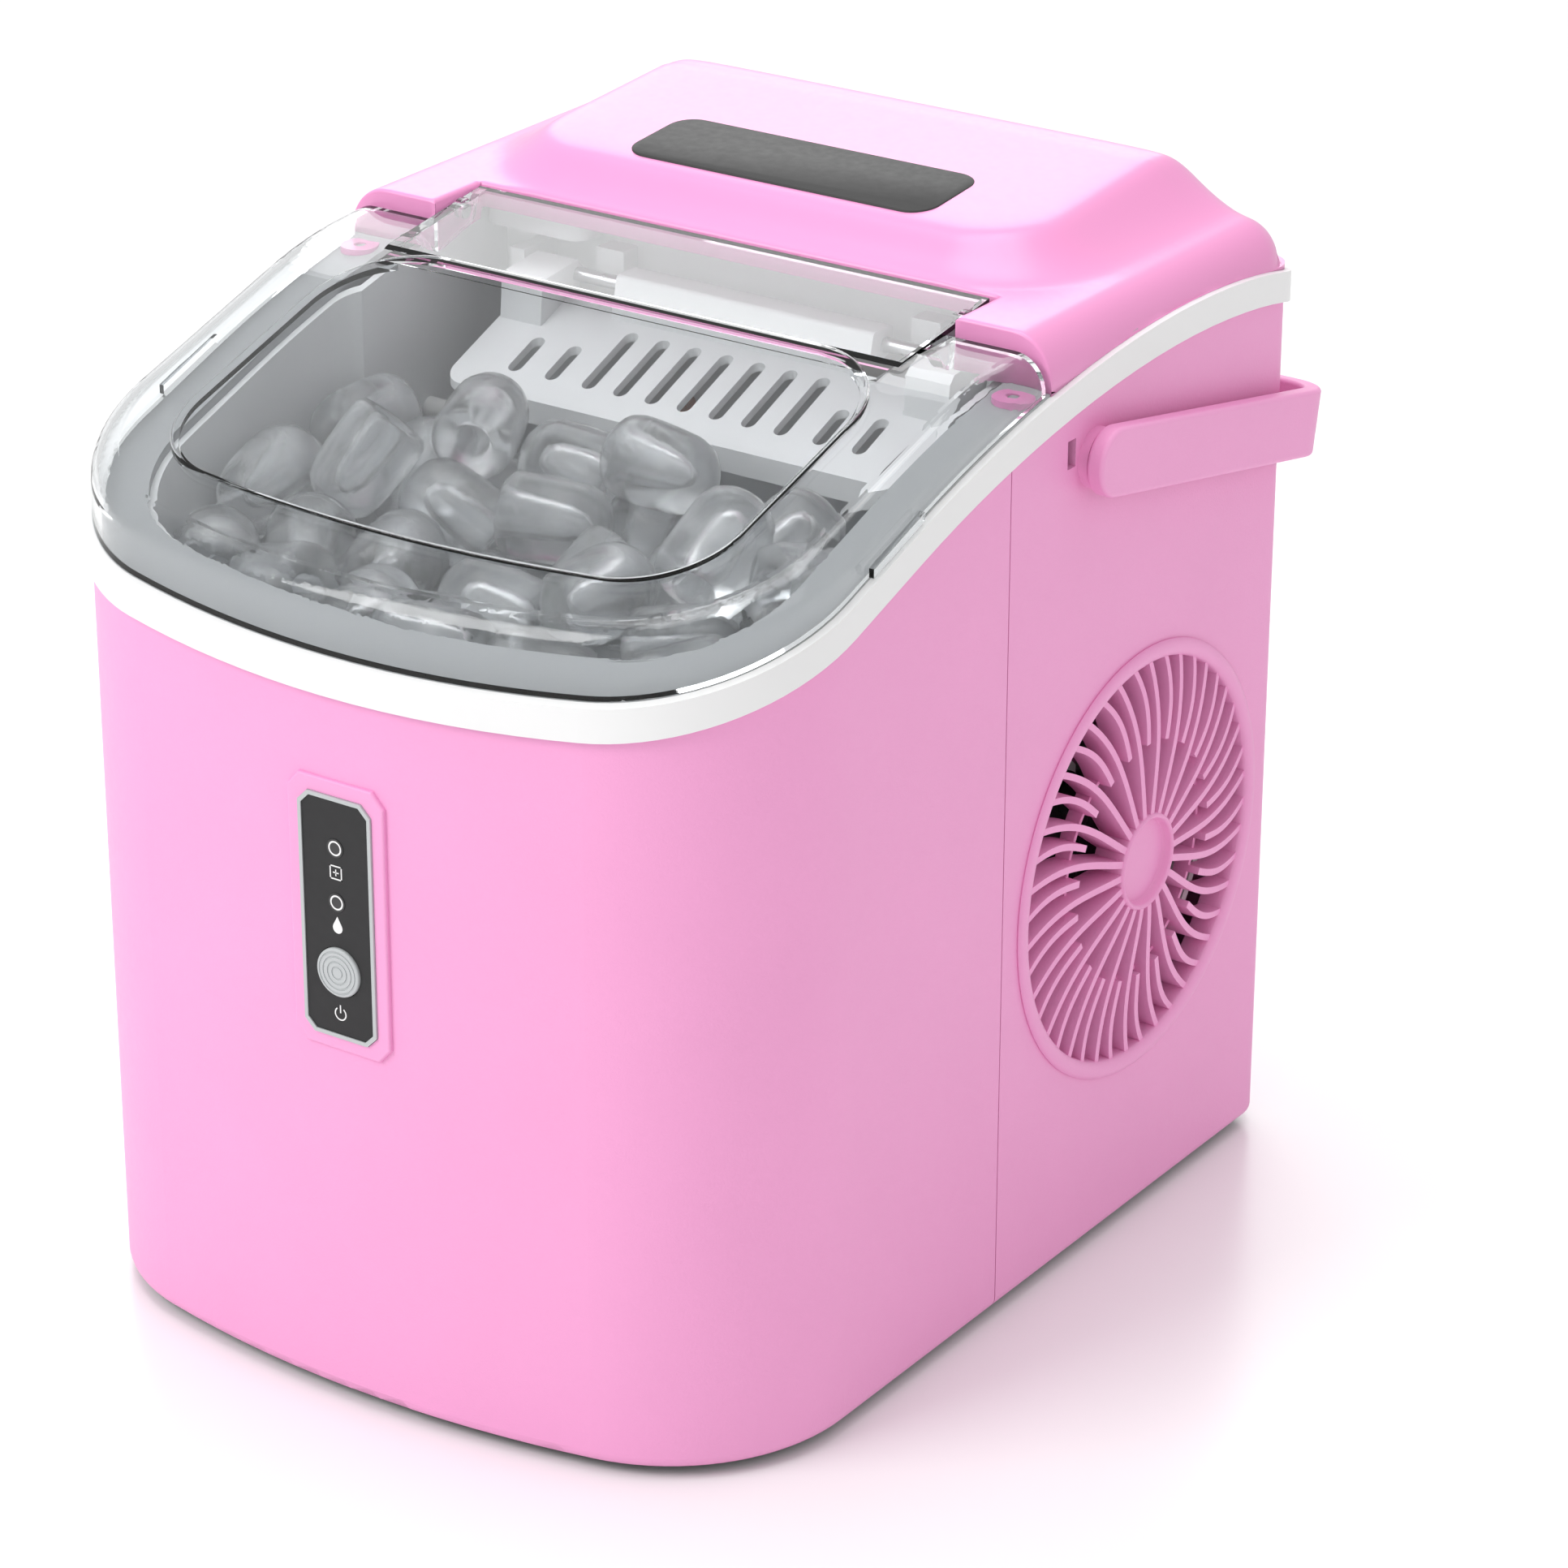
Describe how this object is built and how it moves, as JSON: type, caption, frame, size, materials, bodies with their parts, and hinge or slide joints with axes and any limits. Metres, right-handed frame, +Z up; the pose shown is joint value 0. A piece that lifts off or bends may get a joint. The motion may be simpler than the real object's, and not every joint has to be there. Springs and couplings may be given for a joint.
{
  "type": "countertop ice maker",
  "caption": "Countertop bullet-ice maker: bow-fronted casing, hinged clear lid over an ice basket and pusher, raised rear cover, side fan grille, swinging carry handle.",
  "frame": {"origin": "middle of the footprint, on the surface the feet stand on", "axes": "+X to the right seen from the front, +Y to the back, +Z up"},
  "size_m": [0.237, 0.2845, 0.2836],
  "materials": {
    "band_white": "satin",
    "base_black": "matt",
    "black_steel": "satin",
    "casing_pink": "satin with a fine grain",
    "circuit_board": "satin",
    "clear_plastic": "clear",
    "copper": "drawn",
    "cover_pink": "satin gloss",
    "deck_grey": "satin",
    "fan_black": "satin",
    "fin_aluminium": "mill",
    "foam_white": "matt",
    "hose_clear": "satin",
    "mech_white": "satin",
    "panel_dark": "satin",
    "rubber_grey": "matt",
    "silver_trim": "satin",
    "tub_grey": "satin",
    "window_dark": "satin",
    "zinc_steel": "plated"
  },
  "bodies": {
    "housing": {"base_pan": "base_black", "basket_rests": "tub_grey", "button_board": "circuit_board", "case_screws": "zinc_steel", "compressor": "black_steel", "compressor_mounts": "rubber_grey", "condenser": "fin_aluminium", "control_board": "circuit_board", "cord_gland": "rubber_grey", "cover_window": "window_dark", "drain_gasket": "rubber_grey", "drain_tube": "tub_grey", "evaporator": "fin_aluminium", "fan_motor": "black_steel", "fan_shroud": "mech_white", "filter_dryer": "copper", "front_shell": "casing_pink", "handle_pivots": "casing_pink", "hinge_caps": "cover_pink", "ice_full_sensor_cover": "tub_grey", "led_lenses": "clear_plastic", "lid_hinge_pins": "zinc_steel", "panel_face": "panel_dark", "panel_frame": "silver_trim", "pusher_brackets": "tub_grey", "pusher_hinge_rod": "zinc_steel", "rear_cover": "cover_pink", "rear_shell": "casing_pink", "refrigerant_lines": "copper", "rubber_feet": "rubber_grey", "top_deck": "deck_grey", "tray_gear_motor": "mech_white", "trim_band": "band_white", "tub_insulation": "foam_white", "tub_liner": "tub_grey", "vent_grille": "casing_pink", "water_hose": "hose_clear", "water_pump": "mech_white", "water_spout": "mech_white"},
    "lid": {"lid": "clear_plastic"},
    "handle": {"carry_handle": "casing_pink"},
    "button": {"power_button": "silver_trim"},
    "basket": {"ice_basket": "tub_grey"},
    "tray": {"water_tray": "tub_grey", "tray_shafts": "zinc_steel"},
    "pusher": {"ice_pusher": "tub_grey"},
    "fan": {"fan_blade": "fan_black"},
    "impeller": {"pump_impeller": "mech_white"},
    "plug": {"drain_plug": "rubber_grey"}
  },
  "joints": [
    {"name": "lid_hinge", "type": "hinge", "parent": "housing", "child": "lid", "pos_m": [0, 0.01714, 0.2625], "axis": [-1, 0, 0], "range_deg": [0, 105]},
    {"name": "handle_swing", "type": "hinge", "parent": "housing", "child": "handle", "pos_m": [0, 0.02964, 0.2308], "axis": [1, 0, 0], "range_deg": [0, 93]},
    {"name": "button_press", "type": "slide", "parent": "housing", "child": "button", "axis": [0, 1, 0], "range_m": [0, 0.0008], "stiffness_N_per_m": 900},
    {"name": "basket_lift", "type": "slide", "parent": "housing", "child": "basket", "axis": [0, 0, 1], "range_m": [0, 0.01]},
    {"name": "tray_tilt", "type": "hinge", "parent": "housing", "child": "tray", "pos_m": [0, 0.03014, 0.199], "axis": [1, 0, 0], "range_deg": [0, 50]},
    {"name": "pusher_swing", "type": "hinge", "parent": "housing", "child": "pusher", "pos_m": [0, 0.03914, 0.243], "axis": [-1, 0, 0], "range_deg": [0, 25]},
    {"name": "fan_spin", "type": "hinge", "parent": "housing", "child": "fan", "pos_m": [0.093, 0.05794, 0.108], "axis": [1, 0, 0], "continuous": true},
    {"name": "impeller_spin", "type": "hinge", "parent": "housing", "child": "impeller", "pos_m": [-0.06, -0.04786, 0.014], "axis": [0, 0, 1], "continuous": true},
    {"name": "drain_plug_pull", "type": "slide", "parent": "housing", "child": "plug", "axis": [0, 0, -1], "range_m": [0, 0.012]}
  ],
  "couplings": [
    {"joint": "pusher_swing", "follows": "tray_tilt", "ratio": 0.5}
  ]
}
